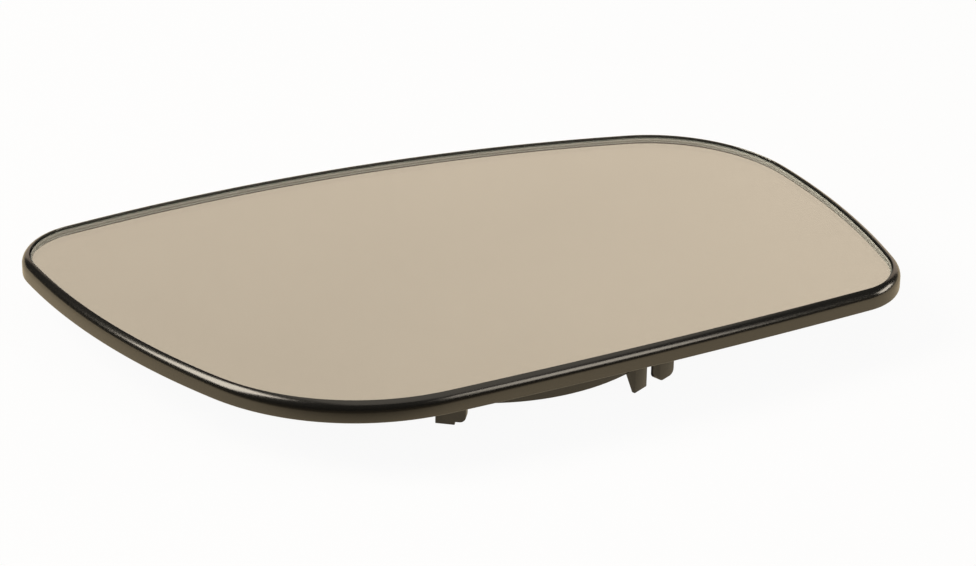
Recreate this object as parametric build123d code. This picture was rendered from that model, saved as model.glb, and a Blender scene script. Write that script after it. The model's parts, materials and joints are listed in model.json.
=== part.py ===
"""Door mirror glass on its backing plate.

A convex glass, silvered on its back, is bonded by an adhesive pad into a moulded
plate. The plate has a crowned rim round the glass and, on its back, a ring with
hook clips that snaps on to the carrier of the mirror's adjuster.

Millimetres. The origin is the centre of the ring's mouth, X runs along the lower
edge of the glass, Y up the glass and Z out of its face.
"""

import os
from math import sqrt

from build123d import *

# Glass outline, seen from the front: where the bowed sides would meet at each corner
LOWER_LEFT = (-58.6, -48.7)
LOWER_RIGHT = (78.9, -48.3)
UPPER_RIGHT = (78.1, 32.3)
UPPER_LEFT = (-88.9, 53.9)

# How far each side bows out of the straight line between its corners
LOWER_BOW = 3.9
RIGHT_BOW = 5.1
UPPER_BOW = 5.7
LEFT_BOW = 9.1

# Rounding of each corner
LOWER_LEFT_RADIUS = 47.5
LOWER_RIGHT_RADIUS = 14.4
UPPER_RIGHT_RADIUS = 33.0
UPPER_LEFT_RADIUS = 12.0

# Glass: the front face is part of a large ball, and the cut edge is ground to a small arris
DOME_RADIUS = 1400.0
GLASS_THICKNESS = 1.8
GLASS_ARRIS = 0.3

# Adhesive pad between the glass and the plate
PAD_THICKNESS = 0.4
PAD_MARGIN = 3.0

# Backing plate: floor under the pad and rim round the glass
FLOOR_THICKNESS = 1.95
GLASS_CLEARANCE = 0.15
RIM_WIDTH = 1.7
RIM_RISE = 0.55
RIM_CROWN_ROUND = 2.2
RIM_FOOT_ROUND = 0.5

# Ring on the back of the plate
RING_BORE_RADIUS = 41.5
RING_WALL = 2.0
RING_HEIGHT = 10.0
RING_MOUTH_ROUND = 0.4

# Hook clips standing in slots of the ring, evenly spaced
CLIP_COUNT = 6
CLIP_FIRST_ANGLE = -126.95
CLIP_WIDTH = 4.2
CLIP_SIDE_GAP = 0.7
CLIP_STAND_OUT = 1.1
CLIP_ARM = 1.5
CLIP_NOSE_CLEARANCE = 0.25
CLIP_LEDGE_HEIGHT = 1.2
CLIP_NOSE_LAND = 1.6
CLIP_REACH = 4.8
CLIP_TIP = 0.8

# Backstop outside each clip, set off to one side of it
BACKSTOP_GAP = 2.3
BACKSTOP_THICKNESS = 2.4
BACKSTOP_SIDESTEP = 0.2
BACKSTOP_WIDTH = 5.1
BACKSTOP_REACH = 1.25
BACKSTOP_CORNER = 1.4

# Ribs that brace the long wings of the plate, each halfway between two clips
RIB_SPACES = (1, 2, 4, 5)
RIB_THICKNESS = 1.4
RIB_SPAN = 32.0
RIB_ROOT_DEPTH = 6.5
RIB_END_DEPTH = 1.5
RIB_RIM_GAP = 4.0

# Heights on the axis and radii that follow from the sizes above
FLOOR_BACK = RING_HEIGHT
FLOOR_MIDDLE = FLOOR_BACK + FLOOR_THICKNESS / 2
FLOOR_TOP = FLOOR_BACK + FLOOR_THICKNESS
GLASS_BACK = FLOOR_TOP + PAD_THICKNESS
GLASS_FRONT = GLASS_BACK + GLASS_THICKNESS
RIM_CREST = GLASS_FRONT + RIM_RISE
RING_OUTER_RADIUS = RING_BORE_RADIUS + RING_WALL
CLIP_OUTER_RADIUS = RING_OUTER_RADIUS + CLIP_STAND_OUT
CLIP_ARM_INNER = CLIP_OUTER_RADIUS - CLIP_ARM
CLIP_NOSE_RADIUS = RING_BORE_RADIUS + CLIP_NOSE_CLEARANCE
BACKSTOP_INNER = CLIP_OUTER_RADIUS + BACKSTOP_GAP
RIB_END_RADIUS = RING_OUTER_RADIUS + RIB_SPAN
CLIP_PITCH = 360.0 / CLIP_COUNT
CLIP_ANGLES = [CLIP_FIRST_ANGLE + CLIP_PITCH * number for number in range(CLIP_COUNT)]
RIB_ANGLES = [CLIP_FIRST_ANGLE + CLIP_PITCH * (space + 0.5) for space in RIB_SPACES]


def dome_drop(radius):
    """How far the back of the floor has fallen at a radius from the ring's axis."""
    ball_radius = DOME_RADIUS - GLASS_FRONT + FLOOR_BACK
    return ball_radius - sqrt(ball_radius**2 - radius**2)


def ball(top):
    """Ball with its top at a height on the axis and the same centre as the glass's front face."""
    centre = GLASS_FRONT - DOME_RADIUS
    return Pos(0, 0, centre) * Rot(0, 90, 0) * Sphere(top - centre)


def side_disc(start, end, bow, grow):
    """Disc whose edge bows out of the line between two corners, grown outwards by a distance."""
    chord = Vector(end) - Vector(start)
    middle = (Vector(end) + Vector(start)) / 2
    outward = chord.normalized().rotate(Axis.Z, -90)
    radius = chord.length**2 / (8 * bow) + bow / 2
    return Pos(middle + outward * (bow - radius)) * Circle(radius + grow)


def outline(grow):
    """Face of the glass seen from the front, grown outwards by a distance: the overlap of four discs."""
    face = side_disc(LOWER_LEFT, LOWER_RIGHT, LOWER_BOW, grow)
    face &= side_disc(LOWER_RIGHT, UPPER_RIGHT, RIGHT_BOW, grow)
    face &= side_disc(UPPER_RIGHT, UPPER_LEFT, UPPER_BOW, grow)
    face &= side_disc(UPPER_LEFT, LOWER_LEFT, LEFT_BOW, grow)
    corners = {
        LOWER_LEFT: LOWER_LEFT_RADIUS,
        LOWER_RIGHT: LOWER_RIGHT_RADIUS,
        UPPER_RIGHT: UPPER_RIGHT_RADIUS,
        UPPER_LEFT: UPPER_LEFT_RADIUS,
    }
    for corner, radius in corners.items():
        face = fillet(face.vertices().sort_by_distance(corner)[0], radius + grow)
    return face


def column(grow):
    """Upright block of the outline, grown outwards by a distance and reaching past the part."""
    return Pos(0, 0, -RING_HEIGHT) * extrude(outline(grow), 2 * RING_HEIGHT + RIM_CREST)


def domed_layer(grow, top, bottom):
    """Sheet between two domed faces, given by their heights on the axis."""
    return column(grow) & (ball(top) - ball(bottom))


def domed_face(shape, top):
    """Domed face of a shape that has its top at a height on the axis."""
    radius = DOME_RADIUS - GLASS_FRONT + top
    return shape.faces().filter_by(GeomType.SPHERE).sort_by(lambda face: abs(face.radius - radius))[0]


def around(angles, piece):
    """Copies of a piece that is drawn on the X axis, turned to each angle about the ring's axis."""
    return [Rot(0, 0, angle) * piece for angle in angles]


def radial_slab(points, thickness):
    """Slab of a profile in radius and height, standing on the X axis."""
    face = make_face(Polyline(*points, close=True))
    return extrude(Plane.XZ * face, thickness / 2, both=True)


def mirror_glass():
    """Domed glass with both edges of its cut side ground to an arris."""
    glass = domed_layer(0.0, GLASS_FRONT, GLASS_BACK).solid()
    edges = domed_face(glass, GLASS_FRONT).edges() + domed_face(glass, GLASS_BACK).edges()
    return glass.chamfer(GLASS_ARRIS, None, edges)


def adhesive_pad():
    """Thin bonding pad that stops short of the glass's edge."""
    return domed_layer(-PAD_MARGIN, GLASS_BACK, FLOOR_TOP).solid()


def tray():
    """Floor of the plate with the crowned rim round the glass, whose pocket cuts into the crown."""
    block = domed_layer(GLASS_CLEARANCE + RIM_WIDTH, RIM_CREST, FLOOR_BACK).solid()
    block = block.fillet(RIM_CROWN_ROUND, domed_face(block, RIM_CREST).edges())
    block = block.fillet(RIM_FOOT_ROUND, domed_face(block, FLOOR_BACK).edges())
    return block - (column(GLASS_CLEARANCE) - ball(FLOOR_TOP))


def ring():
    """Wall of the ring, slotted where the clips stand."""
    height = FLOOR_MIDDLE
    wall = extrude(Circle(RING_OUTER_RADIUS) - Circle(RING_BORE_RADIUS), height)
    mouth = wall.edges().filter_by(GeomType.CIRCLE).group_by(Axis.Z)[0].sort_by(SortBy.RADIUS)[-1]
    wall = fillet(mouth, RING_MOUTH_ROUND)
    slot_width = CLIP_WIDTH + 2 * CLIP_SIDE_GAP
    slot = Pos(RING_BORE_RADIUS + RING_WALL / 2, 0, 0) * Box(2 * RING_WALL, slot_width, 2 * FLOOR_BACK)
    return wall - around(CLIP_ANGLES, slot)


def clip():
    """Hook clip: a springy arm with a ledge that faces the floor and a tapered nose."""
    profile = [
        (CLIP_OUTER_RADIUS, FLOOR_MIDDLE),
        (CLIP_OUTER_RADIUS, -CLIP_REACH),
        (CLIP_OUTER_RADIUS - CLIP_TIP, -CLIP_REACH),
        (CLIP_NOSE_RADIUS, CLIP_LEDGE_HEIGHT - CLIP_NOSE_LAND),
        (CLIP_NOSE_RADIUS, CLIP_LEDGE_HEIGHT),
        (CLIP_ARM_INNER, CLIP_LEDGE_HEIGHT),
        (CLIP_ARM_INNER, FLOOR_MIDDLE),
    ]
    return radial_slab(profile, CLIP_WIDTH)


def backstop():
    """Stop that keeps a clip from being bent too far out, with rounded lower corners."""
    height = FLOOR_MIDDLE + BACKSTOP_REACH
    face = Rectangle(BACKSTOP_WIDTH, height, align=(Align.MIN, Align.MIN))
    face = fillet(face.vertices().group_by(Axis.Y)[0], BACKSTOP_CORNER)
    place = Pos(BACKSTOP_INNER, BACKSTOP_SIDESTEP, -BACKSTOP_REACH)
    return place * extrude(Plane.YZ * face, BACKSTOP_THICKNESS)


def rib():
    """Rib from the ring towards the rim, deepest at the ring."""
    profile = [
        (RING_OUTER_RADIUS - RING_WALL / 2, FLOOR_MIDDLE),
        (RING_OUTER_RADIUS - RING_WALL / 2, FLOOR_BACK - RIB_ROOT_DEPTH),
        (RING_OUTER_RADIUS, FLOOR_BACK - RIB_ROOT_DEPTH),
        (RIB_END_RADIUS, FLOOR_BACK - dome_drop(RIB_END_RADIUS) - RIB_END_DEPTH),
        (RIB_END_RADIUS, FLOOR_MIDDLE),
    ]
    return radial_slab(profile, RIB_THICKNESS)


def mould_window():
    """Opening in the floor above a clip's ledge, where the mould's core passes."""
    width = CLIP_ARM_INNER - CLIP_NOSE_RADIUS
    return Pos(CLIP_NOSE_RADIUS + width / 2, 0, FLOOR_MIDDLE) * Box(width, CLIP_WIDTH, RING_HEIGHT)


def backing_plate():
    """The moulding: tray, ring, clips, backstops and ribs in one piece."""
    ribs = [piece & column(-RIB_RIM_GAP) for piece in around(RIB_ANGLES, rib())]
    back = ring() + around(CLIP_ANGLES, clip()) + around(CLIP_ANGLES, backstop()) + ribs
    plate = tray() + (back & ball(FLOOR_MIDDLE))
    plate -= around(CLIP_ANGLES, mould_window())
    return plate.solid()


os.makedirs("parts", exist_ok=True)
export_step(mirror_glass(), "parts/mirror_glass.step")
export_step(adhesive_pad(), "parts/adhesive_pad.step")
export_step(backing_plate(), "parts/backing_plate.step")
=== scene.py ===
"""Looks of a car door mirror glass in its backing plate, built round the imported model."""

import json
from math import asin, ceil, cos, pi, radians, sin, sqrt

import bmesh
import bpy
from mathutils import Matrix, Vector
from mathutils.geometry import intersect_line_line_2d, intersect_sphere_sphere_2d


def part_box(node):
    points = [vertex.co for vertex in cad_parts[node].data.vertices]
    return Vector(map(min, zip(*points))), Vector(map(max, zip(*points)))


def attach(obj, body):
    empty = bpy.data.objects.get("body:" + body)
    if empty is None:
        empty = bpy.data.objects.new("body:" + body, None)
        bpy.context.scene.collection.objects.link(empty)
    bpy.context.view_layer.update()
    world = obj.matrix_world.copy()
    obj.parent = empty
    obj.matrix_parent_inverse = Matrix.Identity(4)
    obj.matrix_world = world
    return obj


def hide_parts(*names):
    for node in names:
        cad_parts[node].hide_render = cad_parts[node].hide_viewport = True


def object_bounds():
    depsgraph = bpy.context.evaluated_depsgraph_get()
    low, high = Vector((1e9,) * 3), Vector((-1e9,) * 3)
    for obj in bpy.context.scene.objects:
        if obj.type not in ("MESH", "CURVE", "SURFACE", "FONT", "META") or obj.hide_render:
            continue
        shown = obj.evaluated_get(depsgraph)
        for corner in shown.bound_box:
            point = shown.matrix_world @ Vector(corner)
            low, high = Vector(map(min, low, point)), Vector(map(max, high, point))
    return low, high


bl_info = {
    "name": "Door mirror glass",
    "version": (1, 0, 0),
    "blender": (4, 5, 0),
    "location": "View3D > Sidebar > Mirror",
    "description": "Models a convex door mirror glass, its backing plate and a studio to show them in",
    "category": "Object",
}

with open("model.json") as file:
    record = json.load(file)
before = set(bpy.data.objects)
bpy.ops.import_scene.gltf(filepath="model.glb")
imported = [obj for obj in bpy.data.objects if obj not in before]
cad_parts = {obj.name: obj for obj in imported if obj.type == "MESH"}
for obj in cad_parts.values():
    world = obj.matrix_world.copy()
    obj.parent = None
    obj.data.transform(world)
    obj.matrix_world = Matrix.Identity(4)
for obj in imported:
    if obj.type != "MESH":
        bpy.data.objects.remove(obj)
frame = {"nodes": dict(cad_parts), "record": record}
CAD_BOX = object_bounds()

MM = 0.001
BODY = "root"
UP = Vector((0.0, 0.0, 1.0))

# The photograph's frame and the focal length that its perspective gives, in its own pixels
IMAGE_WIDTH_PX = 976
FOCAL_LENGTH_PX = 3500.0
AIM_LEFT_PX = 5.3
AIM_ABOVE_PX = 35.0
SENSOR_WIDTH_MM = 36.0

RING_BORE_RADIUS = frame["record"]["mounts"][0]["dims"]["r_mm"] * MM
FRONT_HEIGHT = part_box("mirror_glass")[1].z
FLOOR_LEVEL = CAD_BOX[0].z

# Points of a loop, and of a whole piece, that lie closer together than this are one point
LOOP_MERGE = 0.01 * MM
PIECE_MERGE = 0.005 * MM

# Edges that turn by more than this are drawn sharp
SHARP_ANGLE = radians(30)

GLASS_IOR = 1.52
ABS_IOR = 1.53
WHITE = (1.0, 1.0, 1.0, 1.0)

# The floor lies just clear of the clips, so that no two faces share a plane
FLOOR_GAP = 0.02 * MM
FLOOR_HALF_WIDTH = 1.6
WALL_HALF_WIDTH = 2.0
WALL_HEIGHT = 1.95

# Each softbox by its azimuth and elevation in degrees, its distance, and its width and height
SOFTBOXES = {
    "key": (-109, 43, 1.4, (0.75, 0.9)),
    "strip": (26, 28, 1.5, (0.48, 0.6)),
    "side": (74, 16, 1.5, (0.75, 0.38)),
    "top": (75, 82, 1.6, (2.0, 1.4)),
}

# The room's linear colour by the height of a direction: warmer low down, a little lighter overhead
ROOM_TONES = (
    (0.25, (0.04, 0.038, 0.035, 1.0)),
    (0.6, (0.06, 0.06, 0.058, 1.0)),
)


def length(name, description, millimetres):
    """Property for a length, given in millimetres and kept in metres."""
    return bpy.props.FloatProperty(
        name=name, description=description, default=millimetres * MM, unit="LENGTH", precision=5
    )


def place(name, description, x, y):
    """Property for a point of the outline, given in millimetres and kept in metres."""
    return bpy.props.FloatVectorProperty(
        name=name, description=description, default=(x * MM, y * MM), size=2, unit="LENGTH", precision=5
    )


def angle(name, description, in_degrees):
    """Property for an angle, given in degrees."""
    return bpy.props.FloatProperty(
        name=name, description=description, default=radians(in_degrees), unit="ROTATION", precision=4
    )


def power(name, description, watts):
    """Property for the power of a lamp, given in watts."""
    return bpy.props.FloatProperty(name=name, description=description, default=watts, unit="POWER")


def linear(hex_colour):
    """Linear red, green and blue of an sRGB hex colour."""
    channels = [int(hex_colour[at : at + 2], 16) / 255 for at in (1, 3, 5)]
    return [c / 12.92 if c <= 0.04045 else ((c + 0.055) / 1.055) ** 2.4 for c in channels]


def colour(name, description, hex_colour):
    """Property for a colour, given as sRGB hex and kept linear."""
    return bpy.props.FloatVectorProperty(
        name=name,
        description=description,
        default=linear(hex_colour),
        size=3,
        subtype="COLOR",
        min=0,
        max=1,
    )


class GlassSettings(bpy.types.PropertyGroup):
    """Sizes and colours of the glass."""

    lower_left: place("Lower left", "Where the left and lower sides would meet", -58.6, -48.7)
    lower_right: place("Lower right", "Where the lower and right sides would meet", 78.9, -48.3)
    upper_right: place("Upper right", "Where the right and upper sides would meet", 78.1, 32.3)
    upper_left: place("Upper left", "Where the upper and left sides would meet", -88.9, 53.9)
    lower_bow: length("Lower bow", "How far the lower side bows out", 3.9)
    right_bow: length("Right bow", "How far the right side bows out", 5.1)
    upper_bow: length("Upper bow", "How far the upper side bows out", 5.7)
    left_bow: length("Left bow", "How far the left side bows out", 9.1)
    lower_left_radius: length("Lower left radius", "Rounding of the lower left corner", 47.5)
    lower_right_radius: length("Lower right radius", "Rounding of the lower right corner", 14.4)
    upper_right_radius: length("Upper right radius", "Rounding of the upper right corner", 33.0)
    upper_left_radius: length("Upper left radius", "Rounding of the upper left corner", 12.0)
    front_height: length("Front height", "Height of the front face on the ring's axis", FRONT_HEIGHT / MM)
    dome_radius: length("Dome radius", "Radius of the ball that the front face is part of", 1400.0)
    thickness: length("Thickness", "Thickness of the glass, short of the pad by a hair", 1.79)
    arris: length("Arris", "Width of the ground bevel on the edges of the glass", 0.3)
    coat_colour: colour("Coat", "What the chrome coat mirrors head on", "#CBCCCB")
    # Painted shade and painted light: one ground glass in two greys, the edge darkened for the black rim's
    # shade and the arris lightened for the light that reaches it.
    edge_painted_shade_colour: colour("Ground edge", "Grey of the ground edge, which faces the black rim", "#8E928F")
    arris_painted_light_colour: colour("Ground arris", "Pale grey of the front arris, which light reaches", "#D8DCD9")


class PlateSettings(bpy.types.PropertyGroup):
    """Sizes and colours of the backing plate and the pad."""

    floor_depth: length("Floor depth", "From the front of the glass to the top of the floor", 2.2)
    floor_thickness: length("Floor thickness", "Thickness of the floor under the glass", 1.95)
    glass_clearance: length("Glass clearance", "Gap between the glass and the rim", 0.15)
    rim_width: length("Rim width", "Width of the rim", 1.69)
    rim_rise: length("Rim rise", "How far the uncut crown would stand above the glass", 0.55)
    crown_round: length("Crown round", "Radius of the crowned top of the rim", 2.2)
    foot_round: length("Foot round", "Radius of the lower edge of the rim", 0.5)
    ring_wall: length("Ring wall", "Thickness of the ring's wall", 2.0)
    mouth_round: length("Mouth round", "Radius of the outer edge of the ring's mouth", 0.4)
    clip_count: bpy.props.IntProperty(name="Clips", description="Number of hook clips", default=6)
    clip_angle: angle("First clip", "Where the first clip stands round the ring, from the X axis", -126.95)
    clip_width: length("Clip width", "Width of a clip along the ring", 4.2)
    clip_side_gap: length("Clip side gap", "Gap in the ring at each side of a clip", 0.7)
    clip_stand_out: length("Clip stand-out", "How far a clip stands out of the ring", 1.1)
    clip_arm: length("Clip arm", "Thickness of a clip's springy arm", 1.5)
    clip_nose_clearance: length("Nose clearance", "From the bore of the ring to the clip's nose", 0.25)
    clip_ledge: length("Ledge height", "Height of the ledge above the ring's mouth", 1.2)
    clip_land: length("Nose land", "Height of the upright part of the clip's nose", 1.6)
    clip_tip: length("Clip tip", "Thickness of the clip at its tip", 0.8)
    stop_gap: length("Backstop gap", "From a clip to the backstop outside it", 2.3)
    stop_thickness: length("Backstop thickness", "Thickness of a backstop", 2.4)
    stop_sidestep: length("Backstop sidestep", "How far beside its clip's middle a backstop begins", 0.2)
    stop_width: length("Backstop width", "Width of a backstop along the ring", 5.1)
    stop_reach: length("Backstop reach", "How far a backstop passes the ring's mouth", 1.25)
    stop_corner: length("Backstop corner", "Rounding of a backstop's lower corners", 1.4)
    rib_thickness: length("Rib thickness", "Thickness of a rib", 1.4)
    rib_span: length("Rib span", "Length of a rib from the ring", 32.0)
    rib_root: length("Rib root", "Depth of a rib at the ring", 6.5)
    rib_end: length("Rib end", "Depth of a rib at its end", 1.5)
    rib_rim_gap: length("Rib rim gap", "How far a rib stops short of the glass's outline", 4.0)
    edge_softness: length("Edge softness", "Width of the soft edges that a mould leaves", 0.15)
    plastic_colour: colour("Plastic", "Black of the moulding", "#161512")
    foam_colour: colour("Foam", "Dark grey of the bonding pad", "#2C2C2B")


class StageSettings(bpy.types.PropertyGroup):
    """Camera, lamps, floor and backdrop."""

    view_azimuth: angle("Azimuth", "Where the camera stands, round the ring's axis", -27.2693)
    view_elevation: angle("Elevation", "How high the camera stands above the horizon", 27.7844)
    view_roll: angle("Roll", "How far the camera leans over", 0.7325)
    view_distance: length("Distance", "From the camera to the middle of the glass", 767.88)
    floor_colour: colour("Floor", "Warm white of the paper, burnt out to white in the picture", "#FFEECE")
    backdrop_distance: length("Backdrop distance", "From the object to the beige wall", 2400.0)
    backdrop_colour: colour("Backdrop", "Warm beige of the wall that the glass mirrors", "#F6E1CB")
    key_power: power("Key softbox", "Power of the softbox on the left", 15.0)
    strip_power: power("Strip softbox", "Power of the small softbox right of the camera", 3.3)
    side_power: power("Side softbox", "Power of the low softbox on the right", 5.0)
    top_power: power("Top softbox", "Power of the dim softbox high above the object", 5.0)
    lamp_colour: colour("Lamp colour", "Slightly warm white of the softboxes", "#FFF4E2")
    sky_strength: bpy.props.FloatProperty(
        name="Room light", description="Strength of the light that comes from all round", default=1.0
    )


def settings():
    """The sizes and colours of the scene."""
    scene = bpy.context.scene
    return scene.mirror_glass_settings, scene.mirror_plate_settings, scene.mirror_stage_settings


# Shared steps in modelling


def only(kind, items):
    """Items of one kind, out of what an operator gives back."""
    return [item for item in items if isinstance(item, kind)]


def side_circle(start, end, bow):
    """Centre and radius of the circle that bows out between two corners by a distance."""
    chord = end - start
    outward = Vector((chord.y, -chord.x)).normalized()
    radius = chord.length_squared / (8 * bow) + bow / 2
    return (start + end) / 2 + outward * (bow - radius), radius


def outline_arcs(glass):
    """Arcs of the glass's outline, anticlockwise: each a centre, a start point and its angle."""
    places = (glass.lower_left, glass.lower_right, glass.upper_right, glass.upper_left)
    corners = [Vector(corner) for corner in places]
    bows = (glass.lower_bow, glass.right_bow, glass.upper_bow, glass.left_bow)
    radii = (
        glass.lower_left_radius,
        glass.lower_right_radius,
        glass.upper_right_radius,
        glass.upper_left_radius,
    )
    count = len(corners)
    circles = [side_circle(corners[i], corners[(i + 1) % count], bows[i]) for i in range(count)]
    centres, starts = [], []
    for i, (corner, radius) in enumerate(zip(corners, radii)):
        before, after = circles[i - 1], circles[i]
        found = intersect_sphere_sphere_2d(before[0], before[1] - radius, after[0], after[1] - radius)
        middle = min(found, key=lambda point: (point - corner).length)
        for centre, rim_radius in (before, after):
            starts.append(centre + (middle - centre).normalized() * rim_radius)
        centres += [middle, after[0]]
    arcs = []
    for i, (centre, start) in enumerate(zip(centres, starts)):
        turn = (start - centre).angle_signed(starts[(i + 1) % len(starts)] - centre)
        arcs.append((centre, start, -turn))
    return arcs


def outline_loop(bm, glass, grow, height):
    """Edges of the outline, grown by a distance and flat at a height: each arc is one point spun."""
    longest_step = 2.0 * MM
    largest_turn = radians(4)
    older = set(bm.verts)
    point = None
    for centre, start, turn in outline_arcs(glass):
        out = start - centre
        if point is None:
            point = bm.verts.new((centre + out * (1 + grow / out.length)).to_3d() + UP * height)
        steps = ceil(max(turn * out.length / longest_step, turn / largest_turn))
        spun = bmesh.ops.spin(bm, geom=[point], cent=centre.to_3d(), axis=UP, angle=turn, steps=steps)
        point = spun["geom_last"][0]
    fresh = [vert for vert in bm.verts if vert not in older]
    bmesh.ops.remove_doubles(bm, verts=fresh, dist=LOOP_MERGE)
    made = set(bm.verts) - older
    return [edge for edge in bm.edges if set(edge.verts) <= made]


def bridge(bm, one, two):
    """Faces between two loops of edges."""
    return bmesh.ops.bridge_loops(bm, edges=one + two)["faces"]


def close_over(bm, edges, middle, rings):
    """Fills a loop with rings that shrink to its middle, which give a domed face points to bend at."""
    faces = []
    for ring in range(rings, 0, -1):
        made = bmesh.ops.extrude_edge_only(bm, edges=edges)["geom"]
        verts = only(bmesh.types.BMVert, made)
        faces += only(bmesh.types.BMFace, made)
        share = (ring - 1) / ring
        bmesh.ops.scale(bm, verts=verts, vec=(share, share, 1), space=Matrix.Translation(-middle))
        inner = set(verts)
        edges = [edge for edge in only(bmesh.types.BMEdge, made) if set(edge.verts) <= inner]
    bmesh.ops.remove_doubles(bm, verts=verts, dist=LOOP_MERGE)
    return [face for face in faces if face.is_valid]


def dome_height(glass, x, y, height):
    """Height at a point of the domed face that has its top at a height on the ring's axis."""
    centre = glass.front_height - glass.dome_radius
    return centre + sqrt((height - centre) ** 2 - x * x - y * y)


def dome(bm, glass):
    """Bends flat faces on to balls with one centre, each vertex from its height on the ring's axis."""
    for vert in bm.verts:
        vert.co.z = dome_height(glass, vert.co.x, vert.co.y, vert.co.z)


def finish_piece(bm, name, materials, node):
    """Makes an object of a bmesh: normals outward, smooth but for sharp edges, riding on the body."""
    bmesh.ops.remove_doubles(bm, verts=bm.verts, dist=PIECE_MERGE)
    bmesh.ops.recalc_face_normals(bm, faces=bm.faces)
    open_edges = [edge for edge in bm.edges if not edge.is_manifold]
    if open_edges:
        raise RuntimeError(f"{name} isn't closed: {len(open_edges)} edges have one face")
    mesh = bpy.data.meshes.new(name)
    bm.to_mesh(mesh)
    bm.free()
    mesh.shade_smooth()
    mesh.set_sharp_from_angle(angle=SHARP_ANGLE)
    for material in materials:
        mesh.materials.append(material)
    piece = bpy.data.objects.new(name, mesh)
    bpy.context.scene.collection.objects.link(piece)
    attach(piece, BODY)
    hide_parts(node)
    return piece


# Materials


def add(nodes, kind, options=None, *values, **named):
    """Adds a node with its settings, and links or sets its inputs, in their order or by name."""
    node = nodes.new(kind)
    for name, value in (options or {}).items():
        setattr(node, name, value)
    inputs = list(zip(node.inputs, values))
    inputs += [(node.inputs[name.replace("_", " ")], value) for name, value in named.items()]
    for socket, value in inputs:
        if isinstance(value, bpy.types.NodeSocket):
            nodes.id_data.links.new(value, socket)
        else:
            socket.default_value = value
    return node


def new_material(name):
    """Empty material with its tree's nodes and its Principled shader, which its output shows."""
    material = bpy.data.materials.new(name)
    material.use_nodes = True
    nodes = material.node_tree.nodes
    nodes.clear()
    shader = nodes.new("ShaderNodeBsdfPrincipled")
    add(nodes, "ShaderNodeOutputMaterial", Surface=shader.outputs["BSDF"])
    return material, nodes, shader


def rgba(three):
    """Colour with full opacity."""
    return (*three, 1.0)


def per_metre(millimetres):
    """Scale of a pattern that repeats at a real size in millimetres."""
    return 1 / (millimetres * MM)


def polished_glass():
    """Float glass, fire polished: clear and sharp, faintly green, with the trace of a wiping cloth."""
    material, nodes, shader = new_material("polished_float_glass")
    wipe_turn = (0, 0, radians(25))
    wipe_stretch = (1, 5, 1)
    place_on = add(nodes, "ShaderNodeTexCoord").outputs["Object"]
    wiped = add(
        nodes, "ShaderNodeMapping", Vector=place_on, Rotation=wipe_turn, Scale=wipe_stretch
    ).outputs["Vector"]
    trace = add(nodes, "ShaderNodeTexNoise", Vector=wiped, Scale=per_metre(30), Detail=4.0).outputs["Fac"]
    haze = add(
        nodes, "ShaderNodeMapRange", Value=trace, From_Min=0.45, From_Max=0.8, To_Max=0.03
    ).outputs["Result"]
    nodes.id_data.links.new(haze, shader.inputs["Roughness"])
    shader.inputs["Base Color"].default_value = rgba(linear("#FAFEFB"))
    shader.inputs["Transmission Weight"].default_value = 1.0
    shader.inputs["IOR"].default_value = GLASS_IOR
    return material


def ground_edge(name, painted_light_and_shade_grey):
    """Edge of the glass ground on a fine wheel: frosted, with the grit's marks in it, in a grey that carries
    painted light, paler where light reaches and darker in the rim's shade.
    """
    material, nodes, shader = new_material(name)
    links = nodes.id_data.links
    place_on = add(nodes, "ShaderNodeTexCoord").outputs["Object"]
    # The wheel's grit is finer than the picture shows, so it is drawn coarse enough to be seen
    grit_scale = per_metre(0.2)
    grit = add(nodes, "ShaderNodeTexNoise", Vector=place_on, Scale=grit_scale, Detail=3.0).outputs["Fac"]
    tone = add(nodes, "ShaderNodeMapRange", Value=grit, To_Min=0.92, To_Max=1.06).outputs["Result"]
    shade = add(nodes, "ShaderNodeVectorMath", {"operation": "SCALE"}, painted_light_and_shade_grey, Scale=tone)
    dull = add(nodes, "ShaderNodeMapRange", Value=grit, To_Min=0.5, To_Max=0.65).outputs["Result"]
    bump = add(nodes, "ShaderNodeBump", Height=grit, Strength=0.1, Distance=0.01 * MM)
    links.new(shade.outputs["Vector"], shader.inputs["Base Color"])
    links.new(dull, shader.inputs["Roughness"])
    links.new(bump.outputs["Normal"], shader.inputs["Normal"])
    shader.inputs["IOR"].default_value = GLASS_IOR
    return material


def chrome_coat(glass):
    """Chrome laid on the glass in a vacuum: a mirror a little darker than silver, thinner in places."""
    material, nodes, shader = new_material("vacuum_chrome_coat")
    links = nodes.id_data.links
    place_on = add(nodes, "ShaderNodeTexCoord").outputs["Object"]
    drift_scale = per_metre(45)
    drift = add(nodes, "ShaderNodeTexNoise", Vector=place_on, Scale=drift_scale, Detail=2.0).outputs["Fac"]
    tone = add(nodes, "ShaderNodeMapRange", Value=drift, To_Min=0.97, To_Max=1.03).outputs["Result"]
    shade = add(nodes, "ShaderNodeVectorMath", {"operation": "SCALE"}, glass.coat_colour, Scale=tone)
    dull = add(nodes, "ShaderNodeMapRange", Value=drift, To_Min=0.015, To_Max=0.025).outputs["Result"]
    links.new(shade.outputs["Vector"], shader.inputs["Base Color"])
    links.new(dull, shader.inputs["Roughness"])
    shader.inputs["Metallic"].default_value = 1.0
    return material


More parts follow.
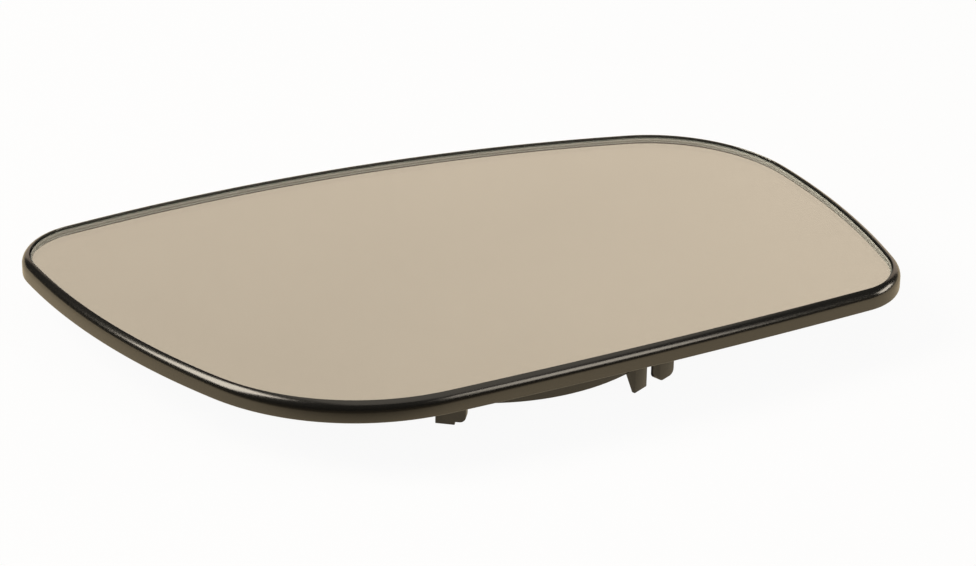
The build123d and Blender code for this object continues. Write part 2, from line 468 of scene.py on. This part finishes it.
def moulded_plastic(plate):
    """ABS filled with soot, from a polished tool: deep black, its satin shine broken by a fine grain."""
    material, nodes, shader = new_material("moulded_black_abs")
    links = nodes.id_data.links
    place_on = add(nodes, "ShaderNodeTexCoord").outputs["Object"]
    # The tool's grain is finer than the picture shows, so it is drawn coarse enough to be seen
    grain_scale = per_metre(0.35)
    flow_scale = per_metre(14)
    grain = add(nodes, "ShaderNodeTexNoise", Vector=place_on, Scale=grain_scale, Detail=2.0).outputs["Fac"]
    flow = add(nodes, "ShaderNodeTexNoise", Vector=place_on, Scale=flow_scale, Detail=2.0).outputs["Fac"]
    tone = add(nodes, "ShaderNodeMapRange", Value=flow, To_Min=0.8, To_Max=1.2).outputs["Result"]
    shade = add(nodes, "ShaderNodeVectorMath", {"operation": "SCALE"}, plate.plastic_colour, Scale=tone)
    shine = add(nodes, "ShaderNodeMapRange", Value=grain, To_Min=0.15, To_Max=0.25).outputs["Result"]
    bump = add(nodes, "ShaderNodeBump", Height=grain, Strength=0.06, Distance=0.02 * MM)
    links.new(shade.outputs["Vector"], shader.inputs["Base Color"])
    links.new(shine, shader.inputs["Roughness"])
    links.new(bump.outputs["Normal"], shader.inputs["Normal"])
    shader.inputs["IOR"].default_value = ABS_IOR
    shader.inputs["Specular IOR Level"].default_value = 1.0
    return material


def foam_tape(plate):
    """Closed-cell acrylic foam tape: dark grey and matt, with small pores."""
    material, nodes, shader = new_material("acrylic_foam_tape")
    links = nodes.id_data.links
    place_on = add(nodes, "ShaderNodeTexCoord").outputs["Object"]
    pores = add(nodes, "ShaderNodeTexVoronoi", Vector=place_on, Scale=per_metre(0.6)).outputs["Distance"]
    tone = add(nodes, "ShaderNodeMapRange", Value=pores, To_Min=0.7, To_Max=1.1).outputs["Result"]
    shade = add(nodes, "ShaderNodeVectorMath", {"operation": "SCALE"}, plate.foam_colour, Scale=tone)
    bump = add(nodes, "ShaderNodeBump", Height=pores, Strength=0.3, Distance=0.1 * MM)
    links.new(shade.outputs["Vector"], shader.inputs["Base Color"])
    links.new(bump.outputs["Normal"], shader.inputs["Normal"])
    shader.inputs["Roughness"].default_value = 0.9
    return material


def stage_surface(name, camera_share, gloss_share):
    """Matt surface that the camera, gloss and glass see by a share as its plain colour in any light."""
    material, nodes, shader = new_material(name)
    links = nodes.id_data.links
    output = next(node for node in nodes if node.type == "OUTPUT_MATERIAL")
    shader.inputs["Roughness"].default_value = 1.0
    shader.inputs["Specular IOR Level"].default_value = 0.0
    path = add(nodes, "ShaderNodeLightPath").outputs
    in_gloss, in_glass = path["Is Glossy Ray"], path["Is Transmission Ray"]
    through = add(nodes, "ShaderNodeMath", {"operation": "MAXIMUM"}, in_gloss, in_glass).outputs["Value"]
    part = add(nodes, "ShaderNodeMath", {"operation": "MULTIPLY"}, through, gloss_share).outputs["Value"]
    in_picture = path["Is Camera Ray"]
    share = add(
        nodes, "ShaderNodeMath", {"operation": "MULTIPLY_ADD"}, in_picture, camera_share, part
    ).outputs["Value"]
    plain = add(nodes, "ShaderNodeEmission")
    lit, flat = shader.outputs["BSDF"], plain.outputs["Emission"]
    mix = add(nodes, "ShaderNodeMixShader", None, share, lit, flat)
    links.new(mix.outputs["Shader"], output.inputs["Surface"])
    return material, nodes, shader, plain, in_picture


def floor_paper(stage):
    """Warm white paper, white in the picture but for a faint shadow; gloss sees it with painted shade,
    dimmer on the near side.
    """
    material, nodes, shader, plain, in_picture = stage_surface(
        "white_floor_paper", camera_share=0.94, gloss_share=0.42
    )
    links = nodes.id_data.links
    # Painted shade: gloss sees the floor painted darker towards the camera's side, from 72 to 108 mm out,
    # down to a tenth, standing in for shade that falls there.
    painted_shade_from, painted_shade_to = 72 * MM, 108 * MM
    painted_shade_deepest = 0.1
    place_on = add(nodes, "ShaderNodeTexCoord").outputs["Object"]
    near_side = bearing(stage.view_azimuth, 0.0)
    near = add(nodes, "ShaderNodeVectorMath", {"operation": "DOT_PRODUCT"}, place_on, near_side)
    shade = add(
        nodes,
        "ShaderNodeMapRange",
        {"interpolation_type": "SMOOTHSTEP"},
        Value=near.outputs["Value"],
        From_Min=painted_shade_from,
        From_Max=painted_shade_to,
        To_Min=1.0,
        To_Max=painted_shade_deepest,
    ).outputs["Result"]
    painted_shade_colour = add(nodes, "ShaderNodeVectorMath", {"operation": "SCALE"}, stage.floor_colour, Scale=shade)
    seen = add(nodes, "ShaderNodeMix", {"data_type": "RGBA"}, in_picture)
    warm, burnt_out = [socket for socket in seen.inputs if socket.type == "RGBA"]
    links.new(painted_shade_colour.outputs["Vector"], warm)
    burnt_out.default_value = WHITE
    shown = next(socket for socket in seen.outputs if socket.type == "RGBA")
    links.new(shown, plain.inputs["Color"])
    links.new(shown, shader.inputs["Base Color"])
    return material


def beige_wall(stage, side):
    """Beige wall that the glass mirrors, with painted light: its glow a little lighter low on the right."""
    material, nodes, shader, plain, _ = stage_surface("beige_wall", camera_share=1.0, gloss_share=1.0)
    links = nodes.id_data.links
    # Painted light: the wall's glow is painted lighter low down and to the right and dimmer higher up, as if
    # lamps lit it unevenly.
    slope = -0.9
    fade_from, fade_to = 0.6, 1.9
    painted_lightest, painted_darkest = 1.06, 0.94
    place_on = add(nodes, "ShaderNodeTexCoord").outputs["Object"]
    across = add(
        nodes, "ShaderNodeVectorMath", {"operation": "DOT_PRODUCT"}, place_on, side
    ).outputs["Value"]
    height = add(nodes, "ShaderNodeSeparateXYZ", Vector=place_on).outputs["Z"]
    painted_light_falloff = add(
        nodes, "ShaderNodeMath", {"operation": "MULTIPLY_ADD"}, across, slope, height
    ).outputs["Value"]
    strength = add(
        nodes,
        "ShaderNodeMapRange",
        Value=painted_light_falloff,
        From_Min=fade_from,
        From_Max=fade_to,
        To_Min=painted_lightest,
        To_Max=painted_darkest,
    ).outputs["Result"]
    links.new(strength, plain.inputs["Strength"])
    plain.inputs["Color"].default_value = rgba(stage.backdrop_colour)
    shader.inputs["Base Color"].default_value = rgba(stage.backdrop_colour)
    return material


# Operators, one for each piece or group of pieces


class MIRROR_OT_glass(bpy.types.Operator):
    """Models the domed glass: polished front, ground edges and the chrome coat on its back"""

    bl_idname = "mirror.glass"
    bl_label = "Glass"

    def execute(self, context):
        glass, _, _ = settings()
        back = glass.front_height - glass.thickness
        rings = 36
        bm = bmesh.new()
        levels = (
            (-glass.arris, glass.front_height),
            (0.0, glass.front_height - glass.arris),
            (0.0, back + glass.arris),
            (-glass.arris, back),
        )
        loops = [outline_loop(bm, glass, grow, height) for grow, height in levels]
        bands = [bridge(bm, one, two) for one, two in zip(loops, loops[1:])]
        front_faces = close_over(bm, loops[0], UP * glass.front_height, rings)
        coat_faces = close_over(bm, loops[-1], UP * back, rings)
        coats = (
            (polished_glass(), front_faces),
            # Painted light and shade: the arris and the edge are one ground glass, the arris painted paler
            # and the edge painted darker.
            (ground_edge("ground_glass_arris", glass.arris_painted_light_colour), bands[0]),
            (ground_edge("ground_glass_edge", glass.edge_painted_shade_colour), bands[1] + bands[2]),
            (chrome_coat(glass), coat_faces),
        )
        for number, (_, faces) in enumerate(coats):
            for face in faces:
                face.material_index = number
        dome(bm, glass)
        materials = [material for material, _ in coats]
        piece = finish_piece(bm, "silvered_glass", materials, "mirror_glass")
        # Lamps shine through the front on to the ground edge, and the plate casts the same shadow
        piece.visible_shadow = False
        return {"FINISHED"}


def points_to_face(bm, points):
    """Flat face from its corners, in their order."""
    verts = [bm.verts.new(point) for point in points]
    edges = [bm.edges.new(pair) for pair in zip(verts, verts[1:] + verts[:1])]
    return bmesh.ops.contextual_create(bm, geom=edges)["faces"][0]


def slab(points, thickness, softness):
    """Slab of a profile in radius and height that stands on the X axis, with its edges softened."""
    bm = bmesh.new()
    face = points_to_face(bm, [(radius, -thickness / 2, height) for radius, height in points])
    made = bmesh.ops.extrude_face_region(bm, geom=[face])["geom"]
    moved = only(bmesh.types.BMVert, made)
    bmesh.ops.translate(bm, verts=moved, vec=(0, thickness, 0))
    if softness:
        soften(bm, bm.edges[:], softness)
    return bm


def soften(bm, edges, softness):
    """Rounds edges as a mould leaves them."""
    bmesh.ops.recalc_face_normals(bm, faces=bm.faces)
    bmesh.ops.bevel(
        bm,
        geom=edges,
        offset=softness,
        offset_type="OFFSET",
        segments=2,
        profile=0.5,
        affect="EDGES",
        material=-1,
    )


def around(bm, piece, angles):
    """Adds copies of a piece that is drawn on the X axis, turned to angles about the ring's axis."""
    mesh = bpy.data.meshes.new("piece")
    piece.to_mesh(mesh)
    piece.free()
    for turn in angles:
        older = set(bm.verts)
        bm.from_mesh(mesh)
        fresh = [vert for vert in bm.verts if vert not in older]
        bmesh.ops.rotate(bm, verts=fresh, cent=(0, 0, 0), matrix=Matrix.Rotation(turn, 3, "Z"))
    bpy.data.meshes.remove(mesh)


class PlateHeights:
    """Heights and radii of the plate that follow from its sizes."""

    def __init__(self, glass, plate):
        self.floor_top = glass.front_height - plate.floor_depth
        self.floor_back = self.floor_top - plate.floor_thickness
        self.floor_middle = (self.floor_top + self.floor_back) / 2
        self.ring_outer = RING_BORE_RADIUS + plate.ring_wall
        self.clip_outer = self.ring_outer + plate.clip_stand_out
        self.clip_inner = self.clip_outer - plate.clip_arm
        self.clip_nose = RING_BORE_RADIUS + plate.clip_nose_clearance
        self.rim_outer = plate.glass_clearance + plate.rim_width
        pitch = 2 * pi / plate.clip_count
        self.clip_angles = [plate.clip_angle + pitch * number for number in range(plate.clip_count)]
        # Ribs stand in the spaces after these clips, and none above or below the ring, where the rim is near
        ribbed_spaces = (1, 2, 4, 5)
        self.rib_angles = [self.clip_angles[space] + pitch / 2 for space in ribbed_spaces]

    def in_floor(self, glass, radius):
        """Height halfway through the domed floor at a radius."""
        return dome_height(glass, radius, 0.0, self.floor_middle)


def rim_profile(glass, plate, at):
    """Section of the rim as growths and heights, from the pocket's floor over the crown to the back."""
    crown_steps = 14
    foot_steps = 5
    middle = at.rim_outer - plate.crown_round
    centre = glass.front_height + plate.rim_rise - plate.crown_round
    first = asin((plate.glass_clearance - middle) / plate.crown_round)
    section = [(plate.glass_clearance, at.floor_top)]
    for step in range(crown_steps + 1):
        tilt = first + (pi / 2 - first) * step / crown_steps
        grow = middle + plate.crown_round * sin(tilt)
        section.append((grow, centre + plate.crown_round * cos(tilt)))
    foot_middle = at.rim_outer - plate.foot_round
    for step in range(foot_steps + 1):
        tilt = pi / 2 * step / foot_steps
        drop = plate.foot_round * (1 - sin(tilt))
        section.append((foot_middle + plate.foot_round * cos(tilt), at.floor_back + drop))
    return section


def tray(glass, plate, at):
    """Floor of the plate with the crowned rim round the glass, bent to the glass's dome."""
    rings = 24
    bm = bmesh.new()
    section = rim_profile(glass, plate, at)
    loops = [outline_loop(bm, glass, grow, height) for grow, height in section]
    for one, two in zip(loops, loops[1:]):
        bridge(bm, one, two)
    close_over(bm, loops[0], UP * at.floor_top, rings)
    close_over(bm, loops[-1], UP * at.floor_back, rings)
    dome(bm, glass)
    bmesh.ops.recalc_face_normals(bm, faces=bm.faces)
    return bm


def mould_windows(plate, at):
    """Blocks that open the floor above each clip's ledge, where the mould's core passes."""
    reach = 2 * plate.floor_thickness
    low, high = at.floor_middle - reach, at.floor_middle + reach
    corners = [(at.clip_nose, low), (at.clip_inner, low), (at.clip_inner, high), (at.clip_nose, high)]
    bm = bmesh.new()
    block = slab(corners, plate.clip_width, 0.0)
    around(bm, block, at.clip_angles)
    return bm


def cut(body, tool):
    """Takes one bmesh out of another and gives what is left."""
    objects = []
    for name, bm in (("body", body), ("tool", tool)):
        mesh = bpy.data.meshes.new(name)
        bm.to_mesh(mesh)
        bm.free()
        objects.append(bpy.data.objects.new(name, mesh))
        bpy.context.scene.collection.objects.link(objects[-1])
    modifier = objects[0].modifiers.new("cut", "BOOLEAN")
    modifier.operation = "DIFFERENCE"
    modifier.object = objects[1]
    modifier.solver = "EXACT"
    left = bmesh.new()
    left.from_object(objects[0], bpy.context.evaluated_depsgraph_get())
    for item in objects:
        mesh = item.data
        bpy.data.objects.remove(item)
        bpy.data.meshes.remove(mesh)
    return left


def ring_section(glass, plate, at):
    """Wall of the ring from one clip's slot to the next, with the outer edge of its mouth rounded."""
    steps = 20
    turn = 2 * pi / plate.clip_count
    slot = plate.clip_width / 2 + plate.clip_side_gap
    bm = bmesh.new()
    corners = [
        (RING_BORE_RADIUS, 0.0, 0.0),
        (at.ring_outer, 0.0, 0.0),
        (at.ring_outer, 0.0, at.in_floor(glass, at.ring_outer)),
        (RING_BORE_RADIUS, 0.0, at.in_floor(glass, RING_BORE_RADIUS)),
    ]
    points_to_face(bm, corners)
    wall_middle = RING_BORE_RADIUS + plate.ring_wall / 2
    mouth = [vert for vert in bm.verts if vert.co.z == 0.0 and vert.co.x > wall_middle]
    bmesh.ops.bevel(
        bm, geom=mouth, offset=plate.mouth_round, segments=4, profile=0.5, affect="VERTICES", material=-1
    )
    profile = bm.faces[:] + bm.edges[:] + bm.verts[:]
    bmesh.ops.spin(bm, geom=profile, cent=(0, 0, 0), axis=UP, angle=turn, steps=steps)
    first_side = (Vector((0, slot, 0)), Vector((0, -1, 0)))
    turned = Matrix.Rotation(turn, 3, "Z")
    last_side = (turned @ Vector((0, -slot, 0)), turned @ Vector((0, 1, 0)))
    for point, outward in (first_side, last_side):
        everything = bm.verts[:] + bm.edges[:] + bm.faces[:]
        made = bmesh.ops.bisect_plane(
            bm, geom=everything, plane_co=point, plane_no=outward, clear_outer=True
        )
        bmesh.ops.contextual_create(bm, geom=only(bmesh.types.BMEdge, made["geom_cut"]))
    return bm


def clip(glass, plate, at):
    """Hook clip: a springy arm with a ledge that faces the floor and a tapered nose."""
    corners = [
        (at.clip_outer, at.in_floor(glass, at.clip_outer)),
        (at.clip_outer, FLOOR_LEVEL),
        (at.clip_outer - plate.clip_tip, FLOOR_LEVEL),
        (at.clip_nose, plate.clip_ledge - plate.clip_land),
        (at.clip_nose, plate.clip_ledge),
        (at.clip_inner, plate.clip_ledge),
        (at.clip_inner, at.in_floor(glass, at.clip_inner)),
    ]
    return slab(corners, plate.clip_width, plate.edge_softness)


def backstop(glass, plate, at):
    """Stop that keeps a clip from being bent too far out, with rounded lower corners."""
    inner = at.clip_outer + plate.stop_gap
    outer = inner + plate.stop_thickness
    left, right = plate.stop_sidestep, plate.stop_sidestep + plate.stop_width
    top = at.in_floor(glass, outer)
    bm = bmesh.new()
    corners = [(left, -plate.stop_reach), (right, -plate.stop_reach), (right, top), (left, top)]
    points_to_face(bm, [(inner, side, height) for side, height in corners])
    lower = [vert for vert in bm.verts if vert.co.z < 0]
    bmesh.ops.bevel(
        bm, geom=lower, offset=plate.stop_corner, segments=6, profile=0.5, affect="VERTICES", material=-1
    )
    made = bmesh.ops.extrude_face_region(bm, geom=bm.faces[:])["geom"]
    moved = only(bmesh.types.BMVert, made)
    bmesh.ops.translate(bm, verts=moved, vec=(plate.stop_thickness, 0, 0))
    reach = plate.stop_thickness / 2
    rims = [edge for edge in bm.edges if abs(edge.verts[0].co.x - edge.verts[1].co.x) < reach]
    soften(bm, rims, plate.edge_softness)
    return bm


def rib(glass, plate, at, turn):
    """Rib from the ring towards the rim, deepest at the ring, that stops short of the rim."""
    root = at.ring_outer - plate.ring_wall / 2
    away = Vector((cos(turn), sin(turn)))
    full_end = at.ring_outer + plate.rib_span
    end = full_end
    bm = bmesh.new()
    for edge in outline_loop(bm, glass, -plate.rib_rim_gap, 0.0):
        one, two = (vert.co.to_2d() for vert in edge.verts)
        met = intersect_line_line_2d(away * root, away * end, one, two)
        end = met.length if met else end
    bm.free()
    low = dome_height(glass, full_end, 0.0, at.floor_back) - plate.rib_end
    start = at.floor_back - plate.rib_root
    share = (end - at.ring_outer) / plate.rib_span
    corners = [
        (root, at.in_floor(glass, root)),
        (root, start),
        (at.ring_outer, start),
        (end, start + (low - start) * share),
        (end, at.in_floor(glass, end)),
    ]
    return slab(corners, plate.rib_thickness, plate.edge_softness)


class MIRROR_OT_plate(bpy.types.Operator):
    """Models the moulded backing plate: tray, ring, clips, backstops and ribs"""

    bl_idname = "mirror.plate"
    bl_label = "Backing plate"

    def execute(self, context):
        glass, plate, _ = settings()
        at = PlateHeights(glass, plate)
        bm = cut(tray(glass, plate, at), mould_windows(plate, at))
        around(bm, ring_section(glass, plate, at), at.clip_angles)
        around(bm, clip(glass, plate, at), at.clip_angles)
        around(bm, backstop(glass, plate, at), at.clip_angles)
        for turn in at.rib_angles:
            around(bm, rib(glass, plate, at, turn), [turn])
        finish_piece(bm, "moulded_plate", [moulded_plastic(plate)], "backing_plate")
        return {"FINISHED"}


class MIRROR_OT_pad(bpy.types.Operator):
    """Gives the bonding pad its foam"""

    bl_idname = "mirror.pad"
    bl_label = "Bonding pad"

    def execute(self, context):
        _, plate, _ = settings()
        node = frame["nodes"]["adhesive_pad"]
        node.data.materials.clear()
        node.data.materials.append(foam_tape(plate))
        return {"FINISHED"}


def upright(location, aim, roll=0.0):
    """Matrix of a camera or lamp that stands at a place and looks at a point."""
    turned = (aim - location).to_track_quat("-Z", "Y").to_matrix().to_4x4()
    return Matrix.Translation(location) @ turned @ Matrix.Rotation(roll, 4, "Z")


def bearing(azimuth, elevation):
    """Direction from the object: azimuth 0 is -Y and turns towards +X, elevation is above the horizon."""
    return Vector((sin(azimuth) * cos(elevation), -cos(azimuth) * cos(elevation), sin(elevation)))


def stage_sheet(name, corners, material):
    """Flat sheet of the stage from its four corners."""
    bm = bmesh.new()
    bmesh.ops.contextual_create(bm, geom=[bm.verts.new(corner) for corner in corners])
    mesh = bpy.data.meshes.new(name)
    bm.to_mesh(mesh)
    bm.free()
    mesh.materials.append(material)
    sheet = bpy.data.objects.new(name, mesh)
    bpy.context.scene.collection.objects.link(sheet)


def softbox(name, stand, aim, size, watts, tint):
    """Rectangular lamp that stands at a place and shines on a point."""
    lamp = bpy.data.lights.new(name, "AREA")
    lamp.shape = "RECTANGLE"
    lamp.size, lamp.size_y = size
    lamp.energy = watts
    lamp.color = tint
    box = bpy.data.objects.new(name, lamp)
    box.matrix_world = upright(stand, aim)
    bpy.context.scene.collection.objects.link(box)


def room(stage):
    """World of dim room light, which the glass shows as beige and the picture as white."""
    world = bpy.data.worlds.new("room")
    world.use_nodes = True
    nodes = world.node_tree.nodes
    nodes.clear()
    toward = add(nodes, "ShaderNodeTexCoord").outputs["Generated"]
    height = add(nodes, "ShaderNodeSeparateXYZ", Vector=toward).outputs["Z"]
    ramp = add(nodes, "ShaderNodeValToRGB", Fac=height)
    for element, (position, tone) in zip(ramp.color_ramp.elements, ROOM_TONES):
        element.position = position
        element.color = tone
    tones = ramp.outputs["Color"]
    strength = stage.sky_strength
    dim = add(nodes, "ShaderNodeBackground", Color=tones, Strength=strength).outputs["Background"]
    wall = rgba(stage.backdrop_colour)
    beige = add(nodes, "ShaderNodeBackground", Color=wall).outputs["Background"]
    white = add(nodes, "ShaderNodeBackground", Color=WHITE).outputs["Background"]
    path = add(nodes, "ShaderNodeLightPath").outputs
    in_glass = add(nodes, "ShaderNodeMixShader", None, path["Is Transmission Ray"], dim, beige)
    shown = add(nodes, "ShaderNodeMixShader", None, path["Is Camera Ray"], in_glass.outputs[0], white)
    add(nodes, "ShaderNodeOutputWorld", Surface=shown.outputs[0])
    return world


class MIRROR_OT_stage(bpy.types.Operator):
    """Sets up the floor, the backdrop, the lamps and the camera"""

    bl_idname = "mirror.stage"
    bl_label = "Stage"

    def execute(self, context):
        glass, _, stage = settings()
        scene = context.scene
        aim = UP * glass.front_height
        half = FLOOR_HALF_WIDTH
        ground = FLOOR_LEVEL - FLOOR_GAP
        corners = [(x * half, y * half, ground) for x, y in ((-1, -1), (1, -1), (1, 1), (-1, 1))]
        stage_sheet("floor", corners, floor_paper(stage))
        away = bearing(stage.view_azimuth + pi, 0.0)
        side = away.cross(UP)
        foot = away * stage.backdrop_distance + UP * ground
        left = foot - side * WALL_HALF_WIDTH
        right = foot + side * WALL_HALF_WIDTH
        rise = UP * WALL_HEIGHT
        stage_sheet("backdrop", [left, right, right + rise, left + rise], beige_wall(stage, side))

        for name, (azimuth, elevation, distance, size) in SOFTBOXES.items():
            stand = aim + bearing(radians(azimuth), radians(elevation)) * distance
            watts = getattr(stage, f"{name}_power")
            softbox(f"{name}_softbox", stand, aim, size, watts, stage.lamp_colour)
        scene.world = room(stage)

        lens = bpy.data.cameras.new("camera")
        lens.sensor_width = SENSOR_WIDTH_MM
        lens.lens = FOCAL_LENGTH_PX * SENSOR_WIDTH_MM / IMAGE_WIDTH_PX
        lens.shift_x = AIM_LEFT_PX / IMAGE_WIDTH_PX
        lens.shift_y = -AIM_ABOVE_PX / IMAGE_WIDTH_PX
        camera = bpy.data.objects.new("camera", lens)
        stand = aim + bearing(stage.view_azimuth, stage.view_elevation) * stage.view_distance
        camera.matrix_world = upright(stand, aim, stage.view_roll)
        scene.collection.objects.link(camera)
        scene.camera = camera
        scene.view_settings.view_transform = "Standard"
        return {"FINISHED"}


class MIRROR_PT_panel(bpy.types.Panel):
    """Lists the pieces of the mirror glass"""

    bl_label = "Door mirror glass"
    bl_idname = "MIRROR_PT_panel"
    bl_space_type = "VIEW_3D"
    bl_region_type = "UI"
    bl_category = "Mirror"

    def draw(self, context):
        for operator in OPERATORS:
            self.layout.operator(operator.bl_idname)


GROUPS = {
    "mirror_glass_settings": GlassSettings,
    "mirror_plate_settings": PlateSettings,
    "mirror_stage_settings": StageSettings,
}
OPERATORS = (MIRROR_OT_glass, MIRROR_OT_plate, MIRROR_OT_pad, MIRROR_OT_stage)
CLASSES = (*GROUPS.values(), *OPERATORS, MIRROR_PT_panel)


def register():
    for kind in CLASSES:
        bpy.utils.register_class(kind)
    for name, group in GROUPS.items():
        setattr(bpy.types.Scene, name, bpy.props.PointerProperty(type=group))


def unregister():
    for name in GROUPS:
        delattr(bpy.types.Scene, name)
    for kind in reversed(CLASSES):
        bpy.utils.unregister_class(kind)


def main():
    """Builds the pieces and the stage."""
    register()
    bpy.ops.mirror.glass()
    bpy.ops.mirror.plate()
    bpy.ops.mirror.pad()
    bpy.ops.mirror.stage()


if __name__ == "__main__":
    main()
